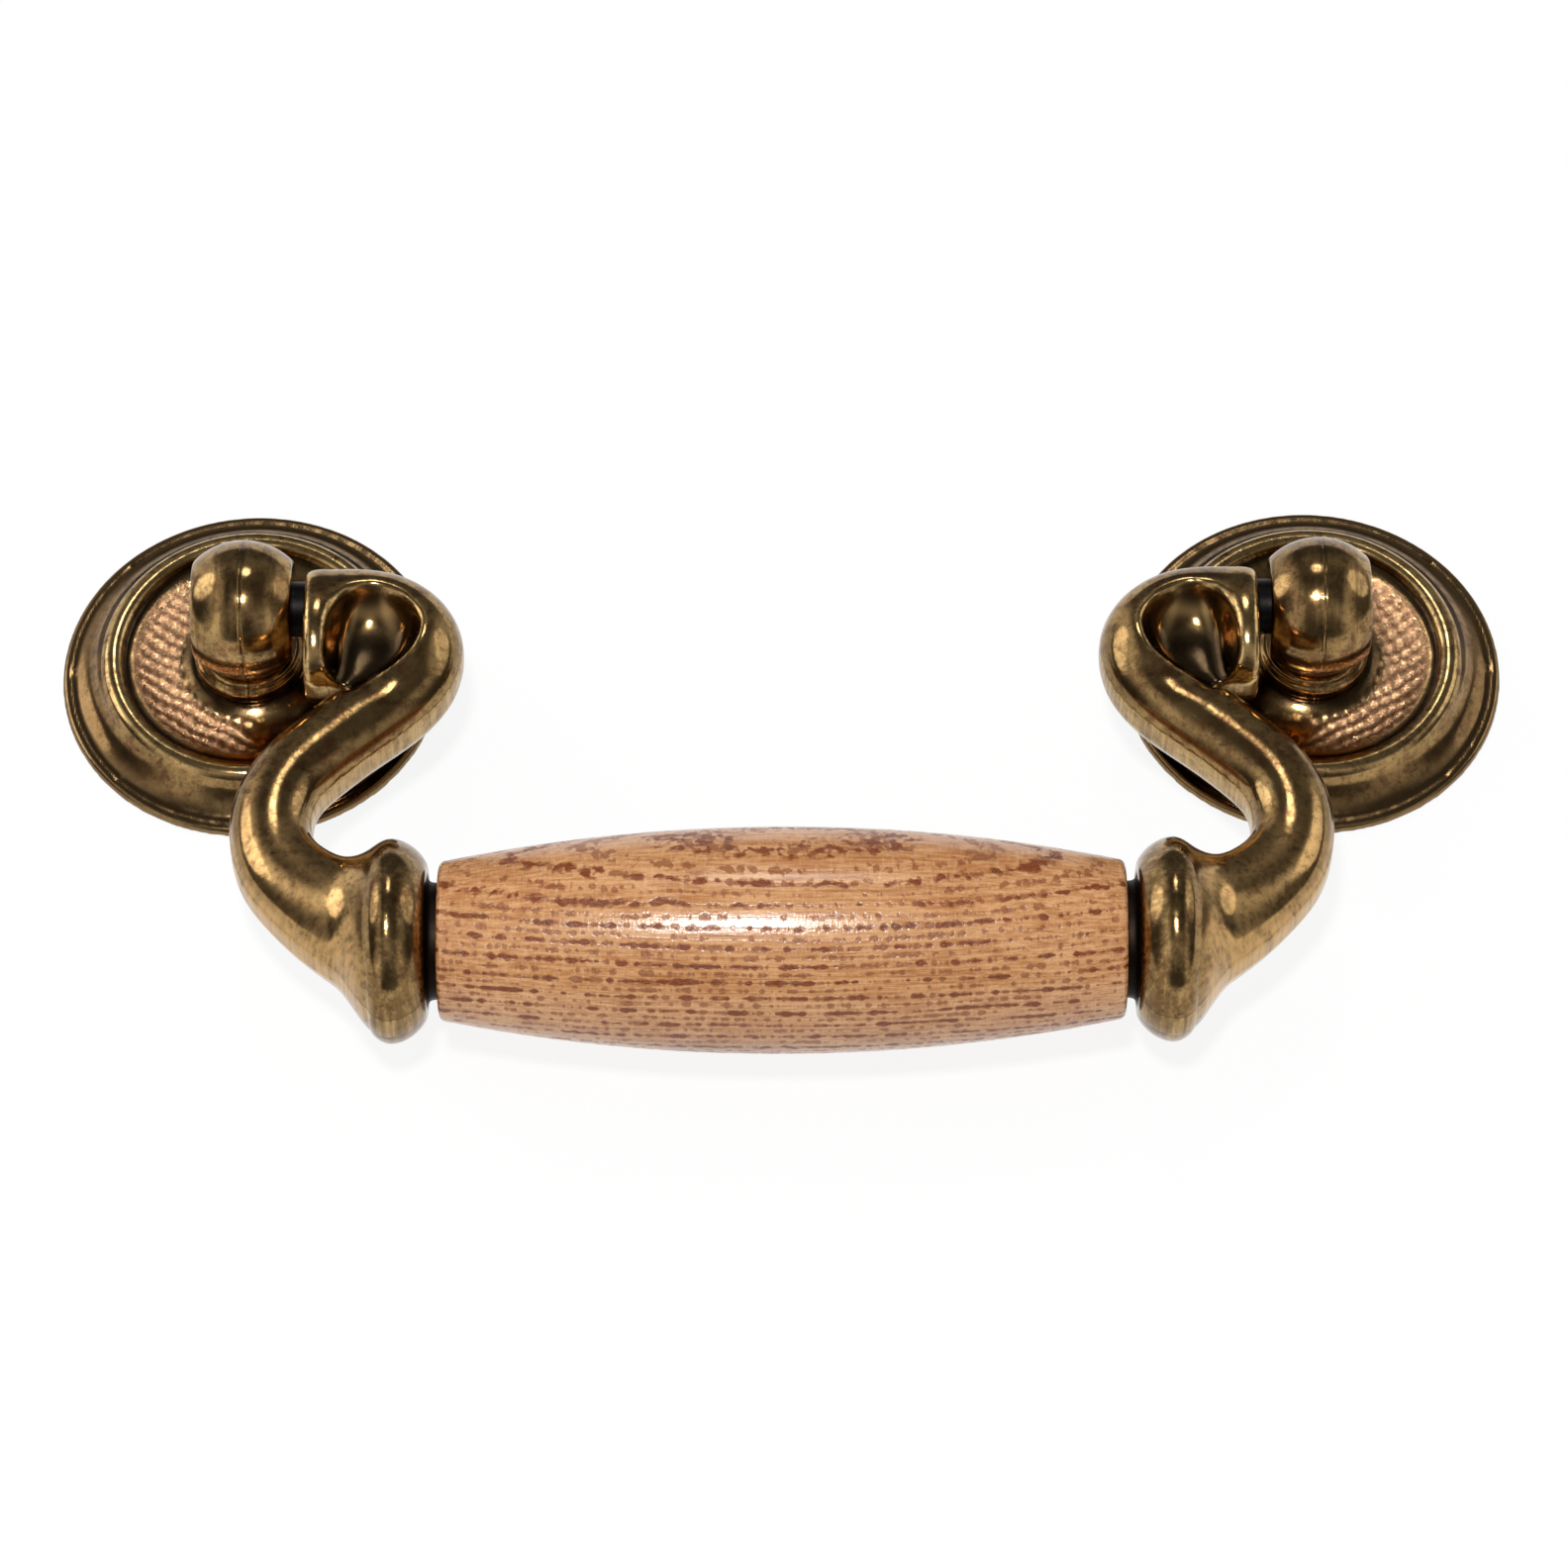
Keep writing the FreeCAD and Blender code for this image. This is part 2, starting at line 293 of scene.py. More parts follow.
@dataclass
class Skin:
    """A surface in the making: its colour, its roughness and its relief in millimetres."""

    graph: Graph
    colour: Value
    rough: Any
    height: Value

    def tint(self, share: Any, colour: Colour) -> None:
        """Lays a share of a colour over the surface."""
        self.colour = self.graph.blend(share, self.colour, colour)

    def finish(self, sockets: dict) -> None:
        """Ends the graph with one principled surface.

        Args:
            sockets: Further sockets' names, each with a number or a value.
        """
        relief = self.graph.node("ShaderNodeBump",
                                 inputs={"Strength": 1.0, "Distance": MM, "Height": self.height})
        shader = self.graph.node("ShaderNodeBsdfPrincipled", inputs={
            "Base Color": self.colour, "Roughness": self.rough, "Normal": relief, **sockets})
        self.graph.node("ShaderNodeOutputMaterial", inputs={"Surface": shader})


@dataclass(frozen=True)
class AgedBrass:
    """Brass with a brown patina: dark in the hollows and rubbed bright on what stands proud."""

    centre: Place = (0, 0, 0)
    rubbed: Colour = (0.62, 0.42, 0.18, 1)
    body: Colour = (0.37, 0.235, 0.092, 1)
    brown: Colour = (0.115, 0.062, 0.026, 1)
    russet: Colour = (0.22, 0.088, 0.038, 1)
    # Black patina in the hollows; the same black also paints shade round the posts' feet and under the balls.
    black_patina_and_shade: Colour = (0.018, 0.012, 0.009, 1)
    russet_start: Place = (31, 17, 5)
    swell_height: float = 0.018
    grain_height: float = 0.0026
    pit_depth: float = 0.006

    def material(self, name: str) -> bpy.types.Material:
        """Builds the finish.

        Args:
            name: The material's name.

        Returns:
            The material.
        """
        made, graph = new_material(name)
        skin = self.patina(graph)
        self.marks(skin)
        skin.finish({"Metallic": 1.0})
        return made

    def patina(self, graph: Graph) -> Skin:
        """The brown skin that all the brass has.

        Args:
            graph: The material's graph.

        Returns:
            The surface.
        """
        point = graph.place()
        clouds = graph.noise(point, scale=0.22, detail=4, rough=0.6, warp=0.5)
        grime = graph.noise(point, scale=1.2, detail=6, rough=0.7)
        grain = graph.noise(point, scale=7.0, detail=3, rough=0.6)
        specks = graph.noise(point, scale=3.2, detail=5, rough=0.75)
        swell = graph.noise(point, scale=0.8, detail=3)
        reddish = graph.noise(graph.place(start=self.russet_start), scale=0.7, detail=5, rough=0.65, warp=0.4)
        proud = graph.attribute("proud")
        shut = graph.attribute("shut")
        dark = shut.step(0.02, 0.28) + clouds.step(0.46, 0.66) * 0.5 + grime.step(0.46, 0.64) * 0.6
        dark = (dark + specks.step(0.52, 0.66) * 0.35).least(1)
        worn = proud.step(0.018, 0.06) * grime.step(0.70, 0.40)
        pits = grain.step(0.68, 0.78) * grime.step(0.45, 0.6)
        skin = Skin(
            graph,
            colour=graph.blend(clouds.step(0.5, 0.3) * 0.35, self.body, self.rubbed),
            rough=0.055 + dark * 0.07 + grime * 0.08 + specks * 0.07,
            height=swell * self.swell_height + grain * self.grain_height - pits * self.pit_depth)
        skin.tint(reddish.step(0.48, 0.70) * 0.8, self.russet)
        skin.tint(dark, self.brown)
        skin.tint(worn * 0.85, self.rubbed)
        skin.tint(shut.step(0.20, 0.55), self.black_patina_and_shade)
        skin.tint(pits * 0.6, self.black_patina_and_shade)
        return skin

    def marks(self, skin: Skin) -> None:
        """Adds what the making left on the surface; plain brass has nothing of the kind."""


@dataclass(frozen=True)
class PressedBrass(AgedBrass):
    """A rosette's brass: a painted coppery reflection with painted glints on the hammered outer side of the
    dish, a dark line at the step and painted shade round the post.
    """

    out: int = 1
    dish_inside: Range = (5.4, 6.6)
    dish_outside: Range = (10.0, 9.3)
    dish_height: float = 0.10
    step_radius: float = 10.35
    step_reach: float = 0.5
    post_shade: Range = (6.2, 4.9)
    cove: Range = (12.2, 13.2)
    rim: Range = (13.6, 14.5)
    dull: Colour = (0.17, 0.105, 0.048, 1)
    # Colour of the painted reflection and glints in the dish.
    coppery_glint: Colour = (0.86, 0.50, 0.27, 1)

    def marks(self, skin: Skin) -> None:
        """Adds the painted coppery reflection and glints on the dish, the darker outer band, the dull rim,
        the dark line at the step and the painted shade round the post.

        Args:
            skin: The surface, which is changed.
        """
        graph = skin.graph
        place = graph.place(start=self.centre)
        x, _, z = graph.split(place)
        radius = (x * x + z * z).root()
        front = graph.attribute("facing").step(0.1, 0.4)
        outward = (x * self.out - z * HAMMER_LEAN).step(*HAMMERED)
        dish = radius.step(*self.dish_inside) * radius.step(*self.dish_outside) * outward * front
        # Painted glints: spots of painted highlight, strongest on the proud points of the hammer marks.
        glint_spots = graph.noise(place, scale=2.6, detail=5, rough=0.75) + graph.attribute("proud") * 2.5
        glint_share = dish * (0.55 + glint_spots.step(0.36, 0.66) * 0.45)
        at_step = radius.near(self.step_radius, self.step_reach)
        # A dark line at the step, and painted shade on the dish round the post's foot.
        ring = at_step.most(radius.step(*self.post_shade) * 0.9) * front
        skin.tint(radius.step(*self.cove) * 0.35, self.brown)
        skin.tint(radius.step(*self.rim) * 0.75, self.dull)
        # Painted coppery reflection with painted glints over the outer side of the dish, where it faces the
        # light.
        skin.tint(glint_share * 0.9, self.coppery_glint)
        # Paints the dark step line and the shade round the post in black.
        skin.tint(ring * 0.85, self.black_patina_and_shade)
        skin.rough = skin.rough + dish * 0.07
        tooth = graph.noise(place, scale=3.6, detail=4, rough=0.75)
        skin.height = skin.height + tooth * dish * self.dish_height


@dataclass(frozen=True)
class TurnedBrass(AgedBrass):
    """A post's brass: a fine upright seam over the ball, brown runs along it and painted shade over the foot
    under the ball.
    """

    seam_half: float = 0.14
    seam_height: float = 0.028
    seam_wander: float = 0.15
    groove_at: float = 0.2
    groove_half: float = 0.1
    groove_depth: float = 0.024
    run_stretch: Place = (1.3, 0.22, 0.22)
    # Painted shade under the ball: it starts 5.6 mm from the mounting plane and is full within 4.6 mm of it.
    foot: Range = (-5.6, -4.6)

    def marks(self, skin: Skin) -> None:
        """Adds the seam, the runs and the painted shade at the foot.

        Args:
            skin: The surface, which is changed.
        """
        graph = skin.graph
        place = graph.place(start=self.centre)
        x, y, _ = graph.split(place)
        off = x + (graph.noise(place, scale=0.6, detail=2) - 0.5) * self.seam_wander
        ridge = off.near(0.0, self.seam_half)
        groove = off.near(self.groove_at, self.groove_half)
        runs = graph.noise(graph.place(self.run_stretch, self.centre), scale=1.0, detail=4, rough=0.65)
        skin.tint(runs.step(0.48, 0.66) * 0.65, self.brown)
        skin.tint(groove * 0.5, self.black_patina_and_shade)
        # Painted shade over the foot under the ball.
        skin.tint(y.step(*self.foot) * 0.25, self.black_patina_and_shade)
        skin.height = skin.height + ridge * self.seam_height - groove * self.groove_depth


@dataclass(frozen=True)
class CastBrass(AgedBrass):
    """An arm's brass: filed at its edges, a painted pale sheen of the table on the trumpet, dull at the
    collar, black at the spigot.
    """

    land: Range = (1.65, 1.35)
    land_edge: float = 1.55
    land_edge_reach: float = 0.14
    land_wander: float = 0.5
    stroke_depth: float = 0.03
    stroke_stretch: Place = (1, 0.06, 1)
    bowl_depth: Range = (3.2, 1.6)
    bowl_foot: Range = (-1.0, -4.5)
    low: Range = (-20.0, -26.0)
    trumpet: Range = (33.0, 34.4)
    collar: Range = (33.0, 32.2)
    spigot: Range = (28.55, 28.25)
    spigot_radius: Range = (5.6, 5.2)
    # Colour of the painted table sheen on the trumpet.
    painted_table_sheen: Colour = (0.64, 0.385, 0.155, 1)

    def marks(self, skin: Skin) -> None:
        """Adds the marks of the file, the painted sheen on the trumpet, and what lies in the bowl and at the
        grip.

        Args:
            skin: The surface, which is changed.
        """
        graph = skin.graph
        x, y, z = graph.split(graph.place(start=self.centre))
        out = abs(x)
        ragged = graph.noise(graph.place((1, 0, 1), self.centre), scale=1.6, detail=2, rough=0.6)
        strokes = graph.noise(graph.place(self.stroke_stretch, self.centre), scale=2.4, detail=2, rough=0.6)
        from_middle = abs(y) + ragged * self.land_wander
        land = from_middle.step(*self.land)
        bowl = abs(graph.attribute("facing")).step(0.25, 0.7) * abs(y).step(*self.bowl_depth)
        below = z + BAIL_DROP
        spigot = out.step(*self.spigot) * (y * y + below * below).root().step(*self.spigot_radius)
        low = z.step(*self.low)
        skin.tint(land * (0.15 + strokes.step(0.40, 0.62) * 0.4), self.rubbed)
        skin.tint(from_middle.near(self.land_edge, self.land_edge_reach) * 0.45, self.black_patina_and_shade)
        skin.tint(bowl * 0.6, self.body)
        # Painted reflection: a pale, patchy sheen over the lower trumpet, where the white table is mirrored.
        skin.tint(low * out.step(*self.trumpet) * ragged.step(0.75, 0.35) * 0.75, self.painted_table_sheen)
        skin.tint(low * out.step(*self.collar) * ragged.step(0.35, 0.6) * 0.6, self.brown)
        skin.tint((bowl * z.step(*self.bowl_foot) * 0.9).most(spigot), self.black_patina_and_shade)
        skin.rough = skin.rough + land * 0.06 + spigot * 0.3 - bowl * 0.05
        skin.height = (skin.height + land * strokes * self.stroke_depth) * (1 - bowl * 0.8)


@dataclass(frozen=True)
class PoreRows:
    """One kind of the oak's rows of pores."""

    apart: float
    length: float
    start: float


@dataclass(frozen=True)
class LacqueredOak:
    """Oak turned along its grain, with rows of open pores under a clear gloss lacquer."""

    axis: Place
    ring: float = 1.36
    ring_up: Range = (-0.84, 0.54)
    ring_sway: float = 0.9
    sway_stretch: Place = (0.05, 0.25, 0.25)
    coarse: PoreRows = PoreRows(apart=1.0, length=0.95, start=0.48)
    slender: PoreRows = PoreRows(apart=0.5, length=0.60, start=0.51)
    pore_half: float = 0.60
    pore_edge: float = 0.30
    pore_depth: float = 0.05
    crowding: float = 0.3
    row_shift: Range = (13.7, 3.71)
    lacquer: float = 0.15
    light: Colour = (0.74, 0.46, 0.25, 1)
    pale: Colour = (0.65, 0.35, 0.160, 1)
    warm: Colour = (0.42, 0.172, 0.058, 1)
    pore: Colour = (0.19, 0.036, 0.0, 1)
    deep: Colour = (0.14, 0.040, 0.006, 1)

    def material(self, name: str) -> bpy.types.Material:
        """Builds the finish.

        Args:
            name: The material's name.

        Returns:
            The material.
        """
        made, graph = new_material(name)
        place = graph.place(start=self.axis)
        grain = self.grain(graph, place)
        edge = self.figure(graph, grain, (2.2, 4.0, 1.8), detail=3, rough=0.7)
        tone = self.figure(graph, grain, (0.35, 0.9, 0.5), detail=2)
        fibre = self.figure(graph, grain, (0.16, 4.0, 3.0), detail=4, rough=0.65)
        ray = self.figure(graph, grain, (4.5, 0.7, 0.9), detail=2)
        thread = self.figure(graph, grain, (0.9, 9.0, 6.0), detail=3, rough=0.6)
        stipple = self.figure(graph, grain, (2.4, 5.0, 5.0), detail=3, rough=0.7)
        line = self.figure(graph, grain, (0.10, 3.2, 1.6), detail=3, rough=0.6).step(0.54, 0.66)
        broad = graph.noise(place, scale=0.09, detail=2)
        swell = graph.noise(place, scale=0.5, detail=2)
        dust = graph.noise(place, scale=7.0, detail=2)
        coarse = self.pores(graph, grain, edge, self.coarse)
        dash = coarse.most(self.pores(graph, grain, edge, self.slender) * 0.7)
        open_pore = dash * (0.3 + edge.step(0.42, 0.60) * 0.7)
        skin = Skin(
            graph,
            colour=graph.blend((fibre * 0.9 + broad * 0.3).step(0.46, 0.76), self.pale, self.warm),
            rough=0.20 + dash * 0.12,
            height=swell * 0.012 - open_pore * self.pore_depth + ray * 0.010 + fibre * 0.012 + dust * 0.009)
        skin.tint(ray.step(0.48, 0.68) * 0.25, self.light)
        skin.tint(stipple.step(0.46, 0.66) * 0.45, self.warm)
        skin.tint(line * thread.step(0.35, 0.6) * 0.45, self.pore)
        skin.tint(dash * (thread * 2.2).least(1), self.pore)
        skin.tint(coarse * tone.step(0.52, 0.62) * edge.step(0.35, 0.6) * 0.75, self.deep)
        skin.finish({"IOR": 1.5, "Coat Weight": self.lacquer - dash * self.lacquer, "Coat Roughness": 0.14})
        return made

    def grain(self, graph: Graph, place: Value) -> tuple[Value, Value, Value]:
        """Where a point lies in the tree.

        Args:
            graph: The material's graph.
            place: Millimetres from the grip's middle.

        Returns:
            Millimetres along the grain, across the growth rings and along them.
        """
        x, y, z = graph.split(place)
        sway = graph.noise(graph.place(self.sway_stretch, self.axis), scale=1.0, detail=2) - 0.5
        depth = y * self.ring_up[0] + z * self.ring_up[1] + sway * self.ring_sway
        return x, depth, y * self.ring_up[1] - z * self.ring_up[0]

    @staticmethod
    def figure(graph: Graph, grain: tuple[Value, Value, Value], stretch: Place, detail: float,
               rough: float = 0.5) -> Value:
        """Noise that follows the grain.

        Args:
            graph: The material's graph.
            grain: Millimetres along the grain, across the growth rings and along them.
            stretch: Cells in a millimetre each way.
            detail: How many finer layers are added.
            rough: How strong the finer layers are.

        Returns:
            The noise's value.
        """
        cells = [way * share for way, share in zip(grain, stretch)]
        return graph.noise(graph.join(*cells), 1.0, detail, rough)

    def pores(self, graph: Graph, grain: tuple[Value, Value, Value], edge: Value, rows: PoreRows) -> Value:
        """Rows of pores cut lengthwise, which show as dashes with pointed ends.

        Args:
            graph: The material's graph.
            grain: Millimetres along the grain, across the growth rings and along them.
            edge: Noise that makes the dashes' edges ragged.
            rows: The rows' distance as a share of a growth ring, about the length of a dash, and where in
                the noise's range the dashes begin.

        Returns:
            How much of a point is pore, from 0 to 1.
        """
        along, depth, across = grain
        apart = self.ring * rows.apart
        scaled = depth / apart + rows.apart
        row = scaled.floor()
        off = abs(scaled.fraction() - 0.5) * apart + (edge - 0.5) * self.pore_edge
        shift, other_shift = self.row_shift
        cell = graph.join(along / rows.length + row * shift, row * other_shift, across * 1.3)
        crowd = self.figure(graph, grain, (0.07, 0.3, 0.2), detail=1) - 0.5
        run = graph.noise(cell, scale=1.0, detail=1) + crowd * self.crowding
        swell = (run - rows.start).most(0.0).root()
        return (swell * self.pore_half - off).step(-0.08, 0.12)


@dataclass(frozen=True)
class DarkSteel:
    """Turned steel with a black surface."""

    shade: Colour = (0.010, 0.009, 0.009, 1)
    worn: Colour = (0.04, 0.037, 0.035, 1)
    groove_stretch: Place = (9, 0.3, 0.3)
    groove_depth: float = 0.01

    def material(self, name: str) -> bpy.types.Material:
        """Builds the finish.

        Args:
            name: The material's name.

        Returns:
            The material.
        """
        made, graph = new_material(name)
        grooves = graph.noise(graph.place(self.groove_stretch), scale=1.0, detail=2)
        cloud = graph.noise(graph.place(), scale=0.8, detail=4, rough=0.6)
        skin = Skin(
            graph,
            colour=graph.blend(cloud.step(0.5, 0.75) * 0.5, self.shade, self.worn),
            rough=0.36 + cloud * 0.2,
            height=grooves * self.groove_depth)
        skin.finish({"Metallic": 1.0})
        return made


@dataclass(frozen=True)
class Softener:
    """Makes worn copies of brass nodes: corners a little round, with proud and shut-in places marked."""

    voxel: float = 0.20
    rounds: int = 6
    extra: int = 60
    fine: int = 14
    broad: int = 150
    merge: float = 0.001

    def copy(self, node: str, relief: Shaping = None, soft: Shaping = None) -> bpy.types.Object:
        """Makes the copy and puts it in the node's place.

        Args:
            node: The node's name.
            relief: Gives how far each point moves, if the piece has any relief.
            soft: Gives the share of extra rounding at each point, if some places are rounder than the rest.

        Returns:
            The copy.
        """
        shape = bmesh.new()
        shape.from_mesh(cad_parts[node].data)
        bmesh.ops.remove_doubles(shape, verts=shape.verts, dist=self.merge * MM)
        mesh = bpy.data.meshes.new(f"{node}_worn")
        shape.to_mesh(mesh)
        shape.free()
        piece = bpy.data.objects.new(f"{node}_worn", mesh)
        bpy.context.scene.collection.objects.link(piece)
        remesh = piece.modifiers.new("even_skin", "REMESH")
        remesh.mode = "VOXEL"
        remesh.voxel_size = self.voxel * MM
        seen = piece.evaluated_get(bpy.context.evaluated_depsgraph_get())
        piece.data = bpy.data.meshes.new_from_object(seen)
        piece.modifiers.clear()
        self.wear(piece.data, np.array(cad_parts[node].bound_box) / MM, relief, soft)
        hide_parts(node)
        LOG.info("%s: %d faces", piece.name, len(piece.data.polygons))
        return piece

    def wear(self, mesh: bpy.types.Mesh, corners: np.ndarray, relief: Shaping, soft: Shaping) -> None:
        """Rounds a mesh's corners, adds its relief and marks its proud and shut-in places.

        Args:
            mesh: The mesh, which is changed.
            corners: The corners of the node's box, which the mesh stays in.
            relief: Gives how far each point moves.
            soft: Gives the share of extra rounding at each point.
        """
        points = np.empty(len(mesh.vertices) * 3)
        mesh.vertices.foreach_get("co", points)
        points = points.reshape(-1, 3) / MM
        pairs = np.empty(len(mesh.edges) * 2, dtype=np.int64)
        mesh.edges.foreach_get("vertices", pairs)
        pairs = pairs.reshape(-1, 2)
        points = self.relaxed(points, pairs, self.rounds)
        normals = self.placed(mesh, points)
        if relief is not None:
            points = points + relief(points, normals)
        if soft is not None:
            share = soft(points, normals)[:, None]
            points = points * (1 - share) + self.relaxed(points, pairs, self.extra) * share
        points = np.clip(points, corners.min(axis=0), corners.max(axis=0))
        normals = self.placed(mesh, points)
        nearby = self.relaxed(points, pairs, self.fine)
        around = self.relaxed(nearby, pairs, self.broad)
        proud = ((points - nearby) * normals).sum(axis=1)
        shut = ((around - points) * normals).sum(axis=1)
        for name, values in (("proud", proud), ("shut", shut), ("facing", -normals[:, 1])):
            mesh.attributes.new(name, "FLOAT", "POINT").data.foreach_set("value", values.astype(np.float32))
        mesh.polygons.foreach_set("use_smooth", np.ones(len(mesh.polygons), dtype=bool))
        mesh.update()

    @staticmethod
    def placed(mesh: bpy.types.Mesh, points: np.ndarray) -> np.ndarray:
        """Puts a mesh's points in their new places.

        Args:
            mesh: The mesh, which is changed.
            points: The places.

        Returns:
            The normal at each point.
        """
        mesh.vertices.foreach_set("co", (points * MM).ravel())
        mesh.update()
        normals = np.empty(points.size)
        mesh.vertex_normals.foreach_get("vector", normals)
        return normals.reshape(-1, 3)

    @staticmethod
    def relaxed(points: np.ndarray, pairs: np.ndarray, rounds: int) -> np.ndarray:
        """Moves each point halfway to its neighbours' middle, several times.

        Args:
            points: The points.
            pairs: The two points of each edge.
            rounds: How many times.

        Returns:
            The moved points.
        """
        count = len(points)
        first, second = pairs[:, 0], pairs[:, 1]
        links = np.bincount(first, minlength=count) + np.bincount(second, minlength=count)
        for _ in range(rounds):
            middle = np.empty_like(points)
            for axis in Axis:
                ways = points[:, axis.value]
                middle[:, axis.value] = (np.bincount(first, ways[second], count)
                                         + np.bincount(second, ways[first], count)) / links
            points = (points + middle) / 2
        return points


def dress(piece: bpy.types.Object, finish: bpy.types.Material) -> None:
    """Gives a piece its finish.

    Args:
        piece: The piece, a CAD node or a new one.
        finish: The material.
    """
    piece.data.materials.clear()
    piece.data.materials.append(finish)
    LOG.info("%s: %s", piece.name, finish.name)


@dataclass
class Mount:
    """One end's fixed pieces: the pressed rosette and the ball post on it."""

    side: Side
    post_voxel: float = 0.15
    post_rounds: int = 5
    dish_inside: Range = (5.6, 6.4)
    dish_outside: Range = (9.6, 9.1)
    mark_apart: float = 1.05
    mark_depth: float = 0.32
    mark_slope: Range = (0.86, 0.5)

    def build(self) -> None:
        """Makes the worn rosette and post and dresses them."""
        word = self.side.word
        foot = (self.side.value * SCREW_CENTRES / 2, 0, 0)
        pressed = PressedBrass(centre=foot, out=self.side.value)
        rosette = Softener().copy(f"{word}_rosette", self.hammer_marks)
        dress(rosette, pressed.material(f"{word}_pressed_brass"))
        post = Softener(voxel=self.post_voxel, rounds=self.post_rounds).copy(f"{word}_post")
        dress(post, TurnedBrass(centre=foot).material(f"{word}_turned_brass"))
        for piece in (rosette, post):
            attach(piece, "base")

    def hammer_marks(self, points: np.ndarray, normals: np.ndarray) -> np.ndarray:
        """Slanting rows of small hammer marks on the outer side of the dish.

        Args:
            points: Points of the rosette.
            normals: The normal at each point.

        Returns:
            How far each point moves.
        """
        across = points[:, 0] * self.side.value - SCREW_CENTRES / 2
        up = points[:, 2]
        radius = np.hypot(across, up)
        marked = ramp(radius, *self.dish_inside) * ramp(radius, *self.dish_outside)
        marked = marked * ramp(across - up * HAMMER_LEAN, *HAMMERED) * ramp(-normals[:, 1], 0, 0.5)
        turn = 2 * math.pi / self.mark_apart
        run, rise = self.mark_slope
        wander = 0.6 * np.sin(0.9 * across + 1.3 * up) + 0.5 * np.sin(2.3 * up - 1.7 * across)
        rows = np.cos((across * run + up * rise) * turn + wander)
        rows = rows + np.cos((up * run - across * rise) * turn + wander)
        return normals * (rows * self.mark_depth / 4 * marked)[:, None]


@dataclass
class Bail:
    """The swinging pieces: the scroll arms, the pins and the rod."""

    arm_rounds: int = 9
    collar_back: float = 32.9
    collar_reach: float = 1.4
    trumpet_top: float = -17.0
    flare_length: float = 3.2
    flare_radius: float = 7.5
    flare_start: float = 0.4
    flare_in_front: float = 0.72
    flare_more_below: float = 0.4
    head_side: Range = (37.8, 37.0)
    head_foot: Range = (-8.5, -6.5)
    head_share: float = 0.85
    bore_facing: float = -0.2

    def build(self) -> None:
        """Makes the worn arms and dresses them, the pins and the rod."""
        cast = CastBrass(centre=(0, -PIN_HEIGHT, 0)).material("cast_brass")
        steel = DarkSteel().material("blackened_steel")
        for side in Side:
            arm = Softener(rounds=self.arm_rounds).copy(f"{side.word}_arm", self.flare, self.rounder)
            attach(arm, "bail")
            dress(arm, cast)
            dress(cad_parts[f"{side.word}_pivot_pin"], steel)
        dress(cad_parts["tie_rod"], steel)

    def around_grip(self, points: np.ndarray,
                    normals: np.ndarray) -> tuple[np.ndarray, np.ndarray, np.ndarray]:
        """The way from the grip's axis to each point.

        Args:
            points: Points of an arm.
            normals: The normal at each point.

        Returns:
            The way, square to the axis; its length; and whether the surface faces away from the axis, as the
            wall of the rod's bore doesn't.
        """
        away = points - np.array(GRIP_AXIS)
        away[:, 0] = 0
        radius = np.linalg.norm(away, axis=1)
        return away, radius, (away * normals).sum(axis=1) > self.bore_facing * radius

    def flare(self, points: np.ndarray, normals: np.ndarray) -> np.ndarray:
        """A hollow sweep that leads the trumpet into the collar; the rod's bore stays as it is.

        Args:
            points: Points of an arm.
            normals: The normal at each point.

        Returns:
            How far each point moves.
        """
        away, radius, outside = self.around_grip(points, normals)
        out = np.abs(points[:, 0])
        share = ramp(out, self.collar_back + self.flare_length, self.collar_back) ** 2
        share = share * ramp(out, self.collar_back - self.flare_start, self.collar_back)
        share = share * np.clip(self.flare_in_front - self.flare_more_below * normals[:, 2], 0, 1)
        share = share * (points[:, 2] < self.trumpet_top) * outside
        move = share * np.clip(self.flare_radius - radius, 0, None) / radius
        return away * move[:, None]

    def rounder(self, points: np.ndarray, normals: np.ndarray) -> np.ndarray:
        """Extra rounding at the bowl's rim and in the corner behind the collar.

        Args:
            points: Points of an arm.
            normals: The normal at each point.

        Returns:
            The share of extra rounding at each point.
        """
        _, _, outside = self.around_grip(points, normals)
        out, up = np.abs(points[:, 0]), points[:, 2]
        collar = np.exp(-((out - self.collar_back) / self.collar_reach) ** 2)
        collar = collar * (up < self.trumpet_top) * outside
        head = ramp(out, *self.head_side) * ramp(up, *self.head_foot)
        return np.maximum(collar, head * self.head_share)


@dataclass
class Grip:
    """The turned wood barrel."""

    axis: Place = GRIP_AXIS

    def build(self) -> None:
        """Dresses the barrel."""
        dress(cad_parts["wood_grip"], LacqueredOak(self.axis).material("lacquered_oak"))


@dataclass(frozen=True)
class Lamp:
    """A round soft lamp that faces the pull, with its width in millimetres and its power in watts."""

    name: str
    place: Place
    width: float
    power: float


@dataclass(frozen=True)
class Band:
    """A bright band of the tent, across one axis of the directions."""

    axis: Axis
    centre: float
    reach: float
    level: float


